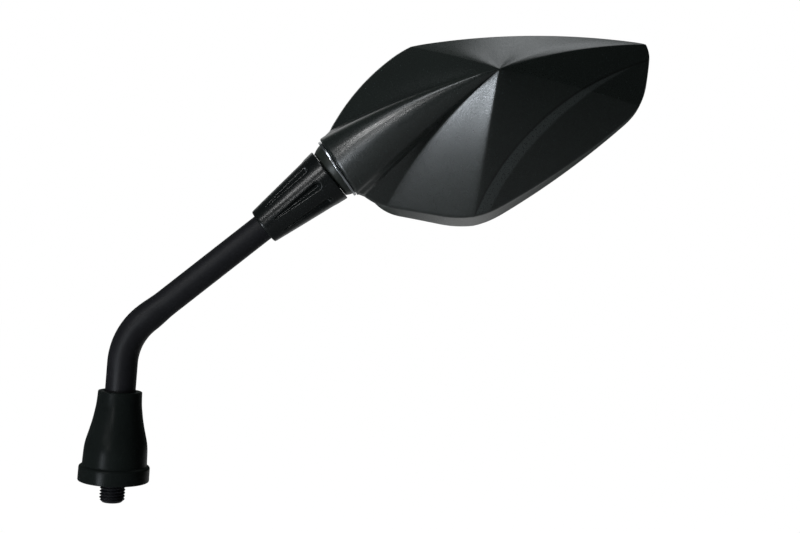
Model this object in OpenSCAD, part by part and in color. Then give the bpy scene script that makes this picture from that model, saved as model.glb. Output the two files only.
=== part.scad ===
/* [Stem] */
// Diameter of the mounting thread
stud_d = 10; // [8:1:12]
// Length of thread below the boot
stud_length = 8.6; // [7:0.2:14]
// Diameter of the lower stem
stem_d = 12; // [11:0.5:14]
// Diameter of the upper stem
stem_top_d = 11; // [9.5:0.5:12]
// Height of the point where the two stem axes cross
bend_height = 58.3; // [56:0.1:90]
// Angle of the upper stem above the horizontal
stem_rise = 42.5; // [35:0.5:55]
// Radius of the bend on its centre line
bend_r = 25; // [22:1:28]
// Distance along the upper axis from the bend to the ball centre
reach = 110.8; // [95:0.1:140]

/* [Base] */
// Height of the rubber boot
boot_h = 36; // [33:0.5:40]
// Diameter of the boot's bottom flange
boot_flange_d = 28.2; // [27:0.2:34]
// Height of the boot's bottom flange
boot_flange_h = 6.3; // [4:0.1:8]
// Diameter of the boot above its flange
boot_body_d = 25.5; // [25:0.1:27]
// Diameter of the boot's top
boot_top_d = 17.4; // [17:0.1:21]
// Thickness of the boot's wall
boot_wall = 1.6; // [1.2:0.1:2]
// Lock nut size across its flats
lock_nut_af = 17; // [15:1:17]
// Lock nut height
lock_nut_h = 6; // [4:0.5:7]
// Spring washer thickness
washer_t = 1.8; // [1:0.1:2.5]
// Size across the flats of the hex on the stem
stem_hex_af = 14; // [13:0.5:15]
// Height of the hex on the stem
stem_hex_h = 6; // [4:0.5:8]
// Distance the lock nut can back off
nut_lift = 2.5; // [1.25:1.25:3.75]

/* [Sleeve] */
// Sleeve diameter at its small end
sleeve_small_d = 15; // [14.5:0.1:17]
// Sleeve diameter at its large end
sleeve_large_d = 23.2; // [22:0.1:24]
// Sleeve length
sleeve_length = 33.8; // [28:0.2:38]
// Number of flutes round the sleeve
flute_count = 8; // [6:1:9]
// Width of a flute at its wide end
flute_w = 3.8; // [2.6:0.1:4.2]

/* [Ball joint] */
// Diameter of the ball's visible zone
ball_d = 24; // [23.4:0.1:24.2]
// Diameter of the bearing dome inside the neck
dome_d = 18; // [17.4:0.1:18.4]
// Distance from the ball centre to its flat
ball_flat = 6; // [5.5:0.1:6.5]
// Diameter of the pivot bolt
bolt_d = 5; // [4:0.5:5]
// Thickness of the nylon seat liner
liner_t = 0.6; // [0.5:0.1:0.7]
// Radial clearance between sliding spheres
ball_gap = 0.1; // [0.08:0.01:0.12]
// Thickness of the seat web in the neck
web_t = 2; // [1.8:0.1:2.2]

/* [Head] */
// Angle of the neck axis above the horizontal
neck_rise = 39; // [36:0.5:42.5]
// Outer diameter of the neck at its rim
neck_d = 27.3; // [27:0.1:29]
// Distance of the apex in front of the stem plane
apex_front = 26; // [24:0.5:30]
// Distance of the glass rim behind the stem plane
rim_back = 18; // [17:0.5:21]
// Wall thickness of the housing
wall = 2.2; // [1.8:0.1:2.6]
// Radius of curvature of the mirror glass
glass_radius = 1200; // [1000:50:2000]
// Thickness of the mirror glass
glass_t = 2; // [1.8:0.1:2.5]
// Depth of the glass below the rim
glass_recess = 0.8; // [0.6:0.1:1.5]
// Margin between the housing's outline and the glass
glass_margin = 4.1; // [3.2:0.1:5]
// Thickness of the foam pad behind the glass
pad_t = 0.9; // [0.8:0.1:1.2]
// Thickness of the carrier plate
carrier_t = 2; // [1.6:0.1:2.4]
// Margin between the housing's outline and the carrier plate
carrier_margin = 8.5; // [8:0.5:12]

/* [Hidden] */
$fn = 96;
eps = 0.01;
run_gap = 0.05;
seat_gap = 0.3;

// Stem
bend_angle = 90 - stem_rise;
bend_leg = bend_r * tan(bend_angle / 2);
bend_overlap = 1.2;
bend_thinning = 0.04;
bend_land = 1;
stud_top = 11;
stud_chamfer = 1;
relief_depth = 0.5;
relief_w = 1.4;
taper_length = 9;
shoulder_at = 16;
spigot_d = 8;
spigot_end = 1;
pivot_x = reach * cos(stem_rise);
pivot_z = bend_height + reach * sin(stem_rise);

// Lock nut, washer and hex on the stem
washer_bottom = seat_gap;
nut_bottom = washer_bottom + washer_t + seat_gap;
hex_gap = 1.2;
hex_bottom = nut_bottom + lock_nut_h + nut_lift + hex_gap;

nut_face_share = 0.96;
nut_chamfer_share = 0.55;

// Jam nut that holds the ball
jam_nut_af = 13;
jam_nut_h = 5;

// Boot: heights of its shoulder, slope and neck as shares of the whole height
boot_shoulder_share = 0.42;
boot_slope_share = 0.58;
boot_neck_share = 0.84;
boot_grip_share = 0.8;
boot_edge = 0.8;

// Sleeve
sleeve_hole_gap = 0.45;
sleeve_nut_gap = 0.1;
sleeve_pocket_slope = 3;
sleeve_top = -ball_flat - seat_gap;
sleeve_bottom = sleeve_top - sleeve_length;
sleeve_mouth_depth = 1.8;
sleeve_wall = 1.8;
sleeve_lip = 0.8;
flute_turn = 8;
flute_start_share = 0.22;
flute_length_share = 0.58;
flute_tip_r = 0.5;
flute_lift = 0.35;

// Ball joint
ball_r = ball_d / 2;
dome_r = dome_d / 2;
dome_top = 7;
skirt_top = 1;
liner_in = dome_r + ball_gap;
liner_out = liner_in + liner_t;
seat_r = liner_out + ball_gap;
web_r = seat_r + web_t;
cup_t = 1.1;
cup_in = web_r + ball_gap;
cup_out = cup_in + cup_t;
cup_angle = 34;
liner_low_angle = 62;
liner_high_angle = 42;
cup_land = 0.4;
bolt_seat = spigot_end + 2;
rim_w = -1.7;
wiper_t = 1;
wiper_gap = 0.2;
wiper_margin = 0.85;
mouth_r = ball_r + 0.2;
mouth_top = 4.8;
tilt_reach = 14.5;
web_hole_r = bolt_d / 2 + web_r * sin(tilt_reach) + 0.2;
spring_t = 0.6;
spring_cone = 0.4;
spring_d = 10;
bolt_head_af = 8;
bolt_head_h = 3.2;

// Head outline: the points where the facets' creases meet the side wall, seen from the front and
// measured from the ball centre: [across, up, side wall depth, flare of the side wall, rounding,
// bow of the edge that follows, lift of the crease, swell of the crease]
outline_corners = [
    [-6.6, 13.9, 12, 1.4, 5, 3.3, 2.4, 0.3],
    [23.0, 51.3, 10, 1.3, 8, 4.0, 0.5, 0.4],
    [121.9, 60.5, 7, 0.9, 6.5, 0.6, 2.3, 0.8],
    [120.6, 34.5, 6.2, 0.9, 9, 2.6, 0.8, 1.2],
    [54.4, -18.3, 16, 3.3, 13, -0.2, 0, 0.6],
    [18.7, -15.0, 11, 2.3, 5, 0.5, 3.6, 0],
    [9.8, -11.9, 16, 0, 0, 0, 0.6, 0]
];
neck_high = [-8.2, 11.2, 16, 0, 0, 0, 2.4, 0];
apex = [58, 38.8];
// Corners of the glass rim behind the neck
rim_corner_low = [16.9, -17.3];
rim_corner_high = [-8.2, 13.4];
edge_steps = 6;
round_steps = 3;
ring_steps = 5;
neck_steps = 12;
spine_angle = 70;
neck_face_inside = 6.3;
neck_inner_r = 11;

// Mirror stack
glass_middle = [60, 22];
layer_gap = 0.04;
pad_margin = carrier_margin + 1.5;
pad_front_r = glass_radius - glass_t - layer_gap;
carrier_front_r = pad_front_r - pad_t - layer_gap;
carrier_back_r = carrier_front_r - carrier_t;
function carrier_back_y(at) =
    rim_back - glass_recess - glass_radius + carrier_back_r
    - pow(norm(at - glass_middle), 2) / 2 / glass_radius;

carrier_screw_at = [[31, 39], [104, 46], [88, 22], [42, -4]];
screw_d = 3;
screw_head_d = 5.6;
screw_length = 9;
screw_core_d = screw_d * 0.85;
screw_head_h = (screw_head_d - screw_d) / 2;
screw_gap = 0.2;
screw_sink = 0.1;
boss_d = 7;
boss_root_share = 0.5;

function lerp(a, b, t) = a + (b - a) * t;
function unit(v) = v / norm(v);
function left_of(v) = [-v[1], v[0]];
function corner(i) = outline_corners[i % len(outline_corners)];
function flat(c) = [c[0], c[1]];
function edge_length(i) = norm(flat(corner(i + 1)) - flat(corner(i)));
// A point on the bowed edge that follows corner i
function edge_point(i, t) =
    let (a = flat(corner(i)), b = flat(corner(i + 1)))
    lerp(a, b, t) + left_of(unit(b - a)) * corner(i)[5] * 4 * t * (1 - t);
function edge_normal(i, t) = unit(left_of(edge_point(i, t + 0.01) - edge_point(i, t - 0.01)));
function corner_normal(i) = unit(edge_normal(i - 1, 1) + edge_normal(i, 0));
function first_share(i) = corner(i)[4] / edge_length(i);
function last_share(i) = 1 - corner(i + 1)[4] / edge_length(i);
// Share by which the rounding cuts a ray that ends at corner i
function cut_share(i) =
    let (
        c = flat(corner(i)),
        before = edge_point(i - 1, last_share(i - 1)),
        after = edge_point(i, first_share(i)),
        out = unit(c - apex)
    )
    ((2 * c - before - after) * out) / (4 * norm(c - apex));
// A ray from the apex: [across, up, depth at its end, rounding cut, lift, swell, normal, flare]
function ray(i, t, cut, normal) =
    let (p = edge_point(i, t), c = lerp(corner(i), corner(i + 1), t))
    [p[0], p[1], rim_back - c[2], cut, c[6], c[7], normal, c[3]];
function rounding_before(i) = [
    for (k = [0 : round_steps - 1])
        let (t = k / round_steps, n = edge_normal(i - 1, last_share(i - 1)))
        ray(i - 1, lerp(last_share(i - 1), 1, t), cut_share(i) * t * t,
            unit(lerp(n, corner_normal(i), t)))
];
function rounding_after(i) = [
    for (k = [0 : round_steps - 1])
        let (t = k / round_steps, n = edge_normal(i, first_share(i)))
        ray(i, first_share(i) * t, cut_share(i) * (1 - t) * (1 - t),
            unit(lerp(corner_normal(i), n, t)))
];
function edge_rays(i, first, last, steps) = [
    for (k = [0 : steps - 1])
        let (t = lerp(first, last, k / steps))
        ray(i, t, 0, edge_normal(i, t))
];
// Rays that end on the neck's rim circle, from its underside over the front to its top
function neck_ray(a, w, r) =
    let (
        spine = a > spine_angle
            ? 1 - (a - spine_angle) / (180 - spine_angle)
            : a / spine_angle,
        top = max(0, cos(a))
    )
    [
        w * cos(neck_rise) - sin(neck_rise) * r * cos(a),
        w * sin(neck_rise) + cos(neck_rise) * r * cos(a),
        -r * sin(a), 0, 0.4 + 2 * top + 1.2 * spine, 2.6 * pow(spine, 1.5), [-1, 0], 0
    ];
function neck_angle(k) = lerp(166, 14, k / neck_steps);
function neck_rays(w, r) = [for (k = [0 : neck_steps]) neck_ray(neck_angle(k), w, r)];
function neck_high_ray(t) =
    let (c = lerp(neck_high, corner(0), t))
    [c[0], c[1], rim_back - c[2], 0, c[6], c[7], edge_normal(0, 0), c[3]];

open_rays = concat(
    [for (i = [0 : 4]) each concat(
        edge_rays(i, first_share(i), last_share(i), edge_steps),
        i < 4 ? concat(rounding_before(i + 1), rounding_after(i + 1)) : []
    )]
);
chain_rays = concat(
    rounding_before(5),
    rounding_after(5),
    edge_rays(5, first_share(5), 1, 2),
    [ray(5, 1, 0, edge_normal(5, 1))],
    neck_rays(rim_w, neck_d / 2),
    [neck_high_ray(0), neck_high_ray(0.5)],
    edge_rays(0, 0, first_share(0), 2)
);
all_rays = concat(open_rays, chain_rays);
open_count = len(open_rays);
ray_count = len(all_rays);
neck_first = open_count + 2 * round_steps + 3;
neck_last = neck_first + neck_steps;

// A point on ray r at share s of its length, from a given apex
function ray_point(r, s, from, front) =
    let (
        u = s * (1 - r[3]),
        out = flat(r) - from,
        up = left_of(unit(out)) * (out[0] > 0 ? 1 : -1),
        p = from + out * u + up * r[4] * 4 * u * (1 - u)
    )
    [p[0], lerp(-front, r[2], u) - r[5] * 4 * u * (1 - u), p[1]];
function crease_point(j) = ray_point(all_rays[j], 1, apex, apex_front);

// The glass rim: the creases moved out by the wall's flare, and a straight stretch behind the neck
function quad(a, b, c, t) = lerp(lerp(a, b, t), lerp(b, c, t), t);
function flared(j) =
    let (p = crease_point(j), r = all_rays[j])
    [p[0], p[2]] + r[6] * r[7];
chain_from = flared(open_count - 1) + (flared(open_count - 1) - flared(open_count - 2)) * 0.5;
chain_to = flared(0) + (flared(0) - flared(1)) * 0.3;
chain_low = lerp(rim_corner_low, rim_corner_high, 0.2);
chain_high = lerp(rim_corner_low, rim_corner_high, 0.84);
function chain_point(u) =
    u < 0.25 ? quad(chain_from, rim_corner_low, chain_low, u / 0.25)
    : u > 0.8 ? quad(chain_high, rim_corner_high, chain_to, (u - 0.8) / 0.2)
    : lerp(chain_low, chain_high, (u - 0.25) / 0.55);
rim_outline = [
    for (j = [0 : ray_count - 1])
        j < open_count ? flared(j) : chain_point((j - open_count) / (ray_count - 1 - open_count))
];
function rim_normal(j) = unit(left_of(
    rim_outline[(j + 1) % ray_count] - rim_outline[(j + ray_count - 1) % ray_count]
));

// The cavity's rays: the same rays drawn in by the wall, with the neck's end moved in to the web
function drawn_in(j) =
    let (r = all_rays[j])
    [
        r[0] - r[6][0] * wall * 1.3, r[1] - r[6][1] * wall * 1.3, r[2] + wall * 0.9,
        r[3], r[4], r[5] * 0.9
    ];
neck_inner_rays = neck_rays(neck_face_inside, neck_inner_r);
function inner_ray(j) =
    j < open_count + round_steps ? drawn_in(j)
    : j >= neck_first && j <= neck_last
        ? let (n = neck_inner_rays[j - neck_first]) [n[0], n[1], n[2], 0, n[4] * 0.8, n[5] * 0.6]
    : j < neck_first
        ? let (
            a = drawn_in(open_count + round_steps - 1),
            b = neck_inner_rays[0],
            t = (j - open_count - round_steps + 1) / (neck_first - open_count - round_steps + 1)
        )
        [for (k = [0 : 5]) lerp(a[k], b[k], t)]
    : let (
        a = neck_inner_rays[neck_steps],
        b = drawn_in(0),
        t = (j - neck_last) / (ray_count - neck_last)
    )
    [for (k = [0 : 5]) lerp(a[k], b[k], t)];
inner_apex = apex + [0, -wall * 0.7];
inner_front = apex_front - wall * 1.7;

// Rings of points: front surface, wall middle and rim, on one skin of the shell
function skin_rings(rays, from, front, inset) = concat(
    [for (s = [1 : ring_steps]) for (r = rays) ray_point(r, s / ring_steps, from, front)],
    [for (j = [0 : ray_count - 1])
        let (p = ray_point(rays[j], 1, from, front), q = rim_outline[j] - rim_normal(j) * inset)
        j >= neck_first && j <= neck_last
            ? [p[0], -p[1], p[2]]
            : [(p[0] + q[0]) / 2, (p[1] + rim_back) / 2, (p[2] + q[1]) / 2]],
    [for (j = [0 : ray_count - 1])
        let (q = rim_outline[j] - rim_normal(j) * inset)
        [q[0], rim_back, q[1]]]
);
skin_size = ray_count * (ring_steps + 2);
function skin_index(s, j) = s * ray_count + j % ray_count;
function strip(s, j, base, flip) =
    let (
        a = base + skin_index(s, j),
        b = base + skin_index(s, j + 1),
        c = base + skin_index(s + 1, j + 1),
        d = base + skin_index(s + 1, j)
    )
    flip ? [[a, b, c], [a, c, d]] : [[a, c, b], [a, d, c]];
function skin_faces(base, flip) = concat(
    [for (s = [0 : ring_steps]) for (j = [0 : ray_count - 1]) each strip(s, j, base, flip)],
    [for (j = [0 : ray_count - 1])
        let (a = base + skin_index(0, j), b = base + skin_index(0, j + 1))
        flip ? [base + skin_size, b, a] : [base + skin_size, a, b]]
);
outer_points = concat(
    skin_rings(all_rays, apex, apex_front, 0),
    [[apex[0], -apex_front, apex[1]]]
);
inner_points = concat(
    skin_rings([for (j = [0 : ray_count - 1]) inner_ray(j)], inner_apex, inner_front, wall),
    [[inner_apex[0], -inner_front, inner_apex[1]]]
);
inner_base = len(outer_points);
rim_faces = [
    for (j = [0 : ray_count - 1]) each
        let (
            a = skin_index(ring_steps + 1, j),
            b = skin_index(ring_steps + 1, j + 1)
        )
        [[a, b + inner_base, b], [a, a + inner_base, b + inner_base]]
];

module along_stem(q) {
    translate([pivot_x, 0, pivot_z])
        rotate([0, bend_angle, 0])
            translate([0, 0, q])
                children();
}

module at_neck(w) {
    translate([pivot_x, 0, pivot_z])
        rotate([0, 90 - neck_rise, 0])
            translate([0, 0, w])
                children();
}

module at_head() {
    translate([pivot_x, 0, pivot_z])
        children();
}

module hex_prism(af, h) {
    cylinder(h = h, r = af / sqrt(3), $fn = 6);
}

// A hex nut with both faces chamfered and a round bore
module nut(af, h, bore) {
    corner_r = af / sqrt(3);
    face_r = af / 2 * nut_face_share;
    chamfer = (corner_r - face_r) * nut_chamfer_share;
    difference() {
        intersection() {
            hex_prism(af, h);
            rotate_extrude()
                polygon([
                    [0, 0],
                    [face_r, 0],
                    [corner_r + 0.1, chamfer],
                    [corner_r + 0.1, h - chamfer],
                    [face_r, h],
                    [0, h]
                ]);
        }
        translate([0, 0, -1])
            cylinder(h = h + 2, d = bore);
    }
}

// Stud and lower stem
module stem_lower() {
    stud_r = stud_d / 2;
    stem_r = stem_d / 2;
    rotate_extrude()
        polygon([
            [0, -stud_length],
            [stud_r - stud_chamfer, -stud_length],
            [stud_r, stud_chamfer - stud_length],
            [stud_r, 0],
            [stud_r - relief_depth, relief_depth * 0.5],
            [stud_r - relief_depth, relief_w - relief_depth],
            [stud_r, relief_w],
            [stud_r, stud_top],
            [stem_r, stud_top + stem_r - stud_r],
            [stem_r, bend_height - bend_leg],
            [0, bend_height - bend_leg]
        ]);
}

// Taper, upper stem and the spigot that carries the ball, measured up from the bend
module stem_upper() {
    top = reach - bend_leg;
    along_stem(-top)
        rotate_extrude()
            polygon([
                [0, 0],
                [stem_d / 2, 0],
                [stem_d / 2, bend_land],
                [stem_top_d / 2, bend_land + taper_length],
                [stem_top_d / 2, top - shoulder_at],
                [spigot_d / 2, top - shoulder_at],
                [spigot_d / 2, top + spigot_end],
                [0, top + spigot_end]
            ]);
}

// The bend reaches a little way into both straight parts
module stem_bend() {
    translate([bend_r, 0, bend_height - bend_leg])
        rotate([90, 0, 180])
            rotate([0, 0, -bend_overlap])
                rotate_extrude(angle = bend_angle + 2 * bend_overlap)
                    translate([bend_r, 0])
                        circle(d = stem_d - bend_thinning);
}

module stem() {
    color([0.09, 0.09, 0.1])
        union() {
            stem_lower();
            stem_bend();
            stem_upper();
        }
}

module stem_hex() {
    color([0.12, 0.12, 0.13])
        translate([0, 0, hex_bottom])
            nut(stem_hex_af, stem_hex_h, stem_d);
}

module lock_washer() {
    color([0.45, 0.45, 0.47])
        translate([0, 0, washer_bottom])
            difference() {
                cylinder(h = washer_t, d = stud_d * 1.75);
                translate([0, 0, -1])
                    cylinder(h = washer_t + 2, d = stud_d + 2 * run_gap);
            }
}

module lock_nut() {
    color([0.35, 0.35, 0.37])
        translate([0, 0, nut_bottom])
            nut(lock_nut_af, lock_nut_h, stud_d + 2 * run_gap);
}

// The boot's outline from the flange up: [radius, height]
module base_boot() {
    flange_r = boot_flange_d / 2;
    body_r = boot_body_d / 2;
    top_r = boot_top_d / 2;
    stem_r = stem_d / 2 + run_gap;
    shoulder_z = boot_h * boot_shoulder_share;
    slope_z = boot_h * boot_slope_share;
    neck_z = boot_h * boot_neck_share;
    slope_r = lerp(body_r, top_r, 0.5);
    edge = boot_edge;
    color([0.06, 0.06, 0.06])
        rotate_extrude()
            polygon([
                [flange_r - boot_wall, 0],
                [flange_r, 0],
                [flange_r - 0.2, boot_flange_h - edge],
                [flange_r - 0.5, boot_flange_h - 0.2],
                [body_r + 0.1, boot_flange_h + 0.1],
                [body_r, boot_flange_h + edge],
                [body_r - 0.2, boot_h * 0.35],
                [body_r - 0.5, shoulder_z],
                [slope_r, slope_z],
                [top_r + 0.9, boot_h * 0.72],
                [top_r + 0.25, neck_z],
                [top_r, boot_h * 0.92],
                [top_r, boot_h - edge],
                [top_r - edge * 0.3, boot_h - edge * 0.3],
                [top_r - edge, boot_h],
                [stem_r + 0.4, boot_h],
                [stem_r, boot_h - 0.6],
                [stem_r, boot_h * boot_grip_share],
                [top_r - boot_wall, boot_h * 0.7],
                [slope_r - boot_wall, slope_z],
                [body_r - 0.5 - boot_wall, shoulder_z],
                [body_r - boot_wall, boot_flange_h + edge],
                [flange_r - boot_wall, boot_flange_h - edge]
            ]);
}

// One teardrop groove along the sleeve's cone, wide at the ball end
module flute() {
    slope = atan((sleeve_large_d - sleeve_small_d) / 2 / sleeve_length);
    start = sleeve_length * flute_start_share;
    length = sleeve_length * flute_length_share;
    wide_r = flute_w / 2;
    start_r = lerp(sleeve_small_d, sleeve_large_d, flute_start_share) / 2;
    translate([start_r, 0, start])
        rotate([0, slope, 0])
            translate([flute_lift, 0, 0])
                union() {
                    cylinder(h = length, r1 = flute_tip_r, r2 = wide_r, $fn = 32);
                    translate([0, 0, length])
                        sphere(r = wide_r, $fn = 32);
                }
}

module sleeve() {
    hole_r = stem_top_d / 2 + sleeve_hole_gap;
    nut_r = jam_nut_af / sqrt(3) + sleeve_nut_gap;
    pocket_top = sleeve_length - sleeve_mouth_depth;
    pocket_bottom = pocket_top - jam_nut_h;
    small_r = sleeve_small_d / 2;
    large_r = sleeve_large_d / 2;
    color([0.08, 0.08, 0.09])
        along_stem(sleeve_bottom)
            difference() {
                rotate_extrude()
                    polygon([
                        [hole_r, 0],
                        [small_r - sleeve_lip, 0],
                        [small_r - sleeve_lip * 0.3, sleeve_lip * 0.3],
                        [small_r, sleeve_lip],
                        [large_r, sleeve_length - sleeve_lip],
                        [large_r - sleeve_lip * 0.3, sleeve_length - sleeve_lip * 0.3],
                        [large_r - sleeve_lip, sleeve_length],
                        [large_r - sleeve_wall, sleeve_length],
                        [large_r - sleeve_wall, pocket_top],
                        [nut_r, pocket_top],
                        [nut_r, pocket_bottom],
                        [hole_r, pocket_bottom - sleeve_pocket_slope]
                    ]);
                for (i = [0 : flute_count - 1])
                    rotate([0, 0, flute_turn - 90 + i * 360 / flute_count])
                        flute();
            }
}

module jam_nut() {
    color([0.4, 0.4, 0.42])
        along_stem(-ball_flat - jam_nut_h)
            nut(jam_nut_af, jam_nut_h, spigot_d);
}

module ball() {
    color([0.16, 0.17, 0.18])
        along_stem(0)
            difference() {
                union() {
                    intersection() {
                        sphere(r = ball_r);
                        translate([0, 0, -ball_flat])
                            cylinder(h = ball_flat + skirt_top, r = ball_r + 1);
                    }
                    intersection() {
                        sphere(r = dome_r);
                        cylinder(h = dome_top, r = dome_r + 1);
                    }
                }
                translate([0, 0, -ball_flat - 1])
                    cylinder(h = ball_flat + 1 + spigot_end, d = spigot_d);
                translate([0, 0, spigot_end + 1])
                    cylinder(h = dome_top, d = bolt_d);
            }
}

module seat_liner() {
    color([0.85, 0.85, 0.8])
        at_neck(0)
            intersection() {
                difference() {
                    sphere(r = liner_out);
                    sphere(r = liner_in);
                }
                translate([0, 0, liner_out * cos(liner_low_angle)])
                    cylinder(
                        h = liner_out * (cos(liner_high_angle) - cos(liner_low_angle)),
                        r = liner_out + 1
                    );
            }
}

module wiper_ring() {
    color([0.5, 0.5, 0.52])
        at_neck(rim_w - wiper_gap - wiper_t)
            difference() {
                cylinder(h = wiper_t, r = ball_r + wiper_margin);
                translate([0, 0, wiper_t + wiper_gap - rim_w])
                    sphere(r = ball_r + ball_gap);
            }
}

module pressure_cup() {
    color([0.5, 0.5, 0.52])
        along_stem(0)
            difference() {
                intersection() {
                    sphere(r = cup_out);
                    translate([0, 0, cup_in * cos(cup_angle)])
                        cylinder(h = cup_out, r = cup_out);
                }
                sphere(r = cup_in);
                cylinder(h = cup_out + 1, d = bolt_d + 2 * run_gap);
                translate([0, 0, cup_out - cup_land])
                    cylinder(h = 2, r = cup_out);
            }
}

// A coned spring washer, hollow side down
module disc_spring() {
    rotate_extrude()
        polygon([
            [bolt_d / 2 + run_gap, spring_cone],
            [spring_d / 2, 0],
            [spring_d / 2, spring_t],
            [bolt_d / 2 + run_gap, spring_cone + spring_t]
        ]);
}

spring_bottom = cup_out - cup_land;
spring_pack = 2 * (spring_t + spring_cone);

module disc_spring_1() {
    color([0.55, 0.55, 0.56])
        along_stem(spring_bottom)
            disc_spring();
}

module disc_spring_2() {
    color([0.6, 0.6, 0.61])
        along_stem(spring_bottom + spring_pack)
            mirror([0, 0, 1])
                disc_spring();
}

module pivot_bolt() {
    color([0.4, 0.4, 0.42])
        union() {
            along_stem(bolt_seat)
                cylinder(h = spring_bottom + spring_pack - bolt_seat + eps, d = bolt_d);
            along_stem(spring_bottom + spring_pack)
                hex_prism(bolt_head_af, bolt_head_h);
        }
}

// The head's shell: front skin and cavity skin, joined along the glass rim
module head_shell() {
    polyhedron(
        points = concat(outer_points, inner_points),
        faces = concat(skin_faces(0, false), skin_faces(inner_base, true), rim_faces)
    );
}

// The front skin closed across the rim, to end the bosses inside the front wall
module head_solid() {
    polyhedron(
        points = outer_points,
        faces = concat(
            skin_faces(0, false),
            [[for (j = [ray_count - 1 : -1 : 0]) skin_index(ring_steps + 1, j)]]
        )
    );
}

module screw_bosses() {
    intersection() {
        translate([0, wall * boss_root_share, 0])
            head_solid();
        for (at = carrier_screw_at)
            translate([at[0], carrier_back_y(at) - seat_gap, at[1]])
                rotate([90, 0, 0])
                    cylinder(h = apex_front + rim_back, d = boss_d);
    }
}

// The seat for the ball, the mouth, the hole for the bolt and the screws' pilot holes
module housing_cuts() {
    at_neck(rim_w - 1)
        cylinder(h = mouth_top - rim_w + 1, r = mouth_r);
    at_neck(0)
        sphere(r = seat_r);
    at_neck(0)
        cylinder(h = web_r + 1, r = web_hole_r);
    for (at = carrier_screw_at)
        screw_place(at)
            cylinder(h = screw_length + 1, d = screw_core_d + 2 * eps);
}

module housing() {
    color([0.13, 0.13, 0.14])
        difference() {
            union() {
                at_head()
                    head_shell();
                at_head()
                    screw_bosses();
                at_neck(0)
                    intersection() {
                        sphere(r = web_r);
                        translate([0, 0, neck_face_inside - 1])
                            cylinder(h = web_r, r = web_r);
                    }
            }
            housing_cuts();
        }
}

// A layer of the mirror: the outline cut by two spheres with one centre
module glass_layer(margin, back_r, front_r) {
    at_head()
        difference() {
            intersection() {
                rotate([90, 0, 0])
                    translate([0, 0, -rim_back - 2])
                        linear_extrude(height = 20)
                            offset(r = -margin)
                                polygon([for (j = [ray_count - 1 : -1 : 0]) rim_outline[j]]);
                glass_sphere(front_r);
            }
            glass_sphere(back_r);
        }
}

module glass_sphere(r) {
    translate([glass_middle[0], rim_back - glass_recess - glass_radius, glass_middle[1]])
        sphere(r = r, $fn = 360);
}

module mirror_glass() {
    color([0.75, 0.8, 0.85])
        glass_layer(glass_margin, glass_radius - glass_t, glass_radius);
}

module foam_pad() {
    color([0.2, 0.2, 0.2])
        glass_layer(pad_margin, pad_front_r - pad_t, pad_front_r);
}

module carrier_plate() {
    color([0.15, 0.15, 0.16])
        difference() {
            glass_layer(carrier_margin, carrier_back_r, carrier_front_r);
            for (at = carrier_screw_at)
                screw_place(at)
                    union() {
                        cylinder(h = 12, d = screw_d + 1.5 * screw_gap, center = true);
                        cylinder(
                            h = screw_head_h, d1 = screw_head_d + screw_gap, d2 = screw_d + screw_gap
                        );
                        translate([0, 0, -2])
                            cylinder(h = 2 + eps, d = screw_head_d + screw_gap);
                    }
        }
}

// Places a screw head's outer face just below the carrier's front, pointing into the boss
module screw_place(at) {
    at_head()
        translate([at[0], carrier_back_y(at) + carrier_t - screw_sink, at[1]])
            rotate([90, 0, 0])
                children();
}

module carrier_screw(at) {
    color([0.6, 0.6, 0.62])
        screw_place(at)
            union() {
                cylinder(h = screw_head_h, d1 = screw_head_d, d2 = screw_core_d);
                cylinder(h = screw_length, d = screw_core_d);
            }
}

stem();
stem_hex();
lock_washer();
lock_nut();
base_boot();
sleeve();
jam_nut();
ball();
seat_liner();
wiper_ring();
pressure_cup();
disc_spring_1();
disc_spring_2();
pivot_bolt();
housing();
carrier_plate();
carrier_screw(carrier_screw_at[0]);  // carrier_screw_1
carrier_screw(carrier_screw_at[1]);  // carrier_screw_2
carrier_screw(carrier_screw_at[2]);  // carrier_screw_3
carrier_screw(carrier_screw_at[3]);  // carrier_screw_4
foam_pad();
mirror_glass();
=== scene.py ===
"""Motorcycle mirror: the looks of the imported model, laid out as an add-on.

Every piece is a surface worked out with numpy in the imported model's own frame, in millimetres,
and goes into its mesh in metres.
"""

import math

import bmesh
import bpy
import numpy as np
from bpy.props import FloatProperty, FloatVectorProperty, PointerProperty
from mathutils import Matrix


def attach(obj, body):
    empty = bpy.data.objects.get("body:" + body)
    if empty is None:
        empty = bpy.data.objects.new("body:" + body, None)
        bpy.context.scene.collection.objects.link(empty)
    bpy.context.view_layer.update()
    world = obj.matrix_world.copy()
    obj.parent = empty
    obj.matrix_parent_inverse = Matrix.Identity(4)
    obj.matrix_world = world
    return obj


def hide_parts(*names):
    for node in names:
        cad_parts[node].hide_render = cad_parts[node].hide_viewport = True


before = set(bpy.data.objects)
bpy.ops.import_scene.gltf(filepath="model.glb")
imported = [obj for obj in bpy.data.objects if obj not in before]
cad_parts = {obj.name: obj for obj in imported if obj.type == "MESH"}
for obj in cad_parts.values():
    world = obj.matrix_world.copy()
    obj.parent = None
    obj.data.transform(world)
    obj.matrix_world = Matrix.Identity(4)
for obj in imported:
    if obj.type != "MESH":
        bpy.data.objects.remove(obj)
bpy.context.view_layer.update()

bl_info = {
    "name": "Motorcycle mirror",
    "version": (1, 0, 0),
    "blender": (4, 5, 0),
    "location": "View3D > Sidebar > Mirror",
    "description": "Dresses the packed motorcycle mirror and sets its stage",
    "category": "Object",
}

MM = 0.001
TAU = 2 * math.pi

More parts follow.
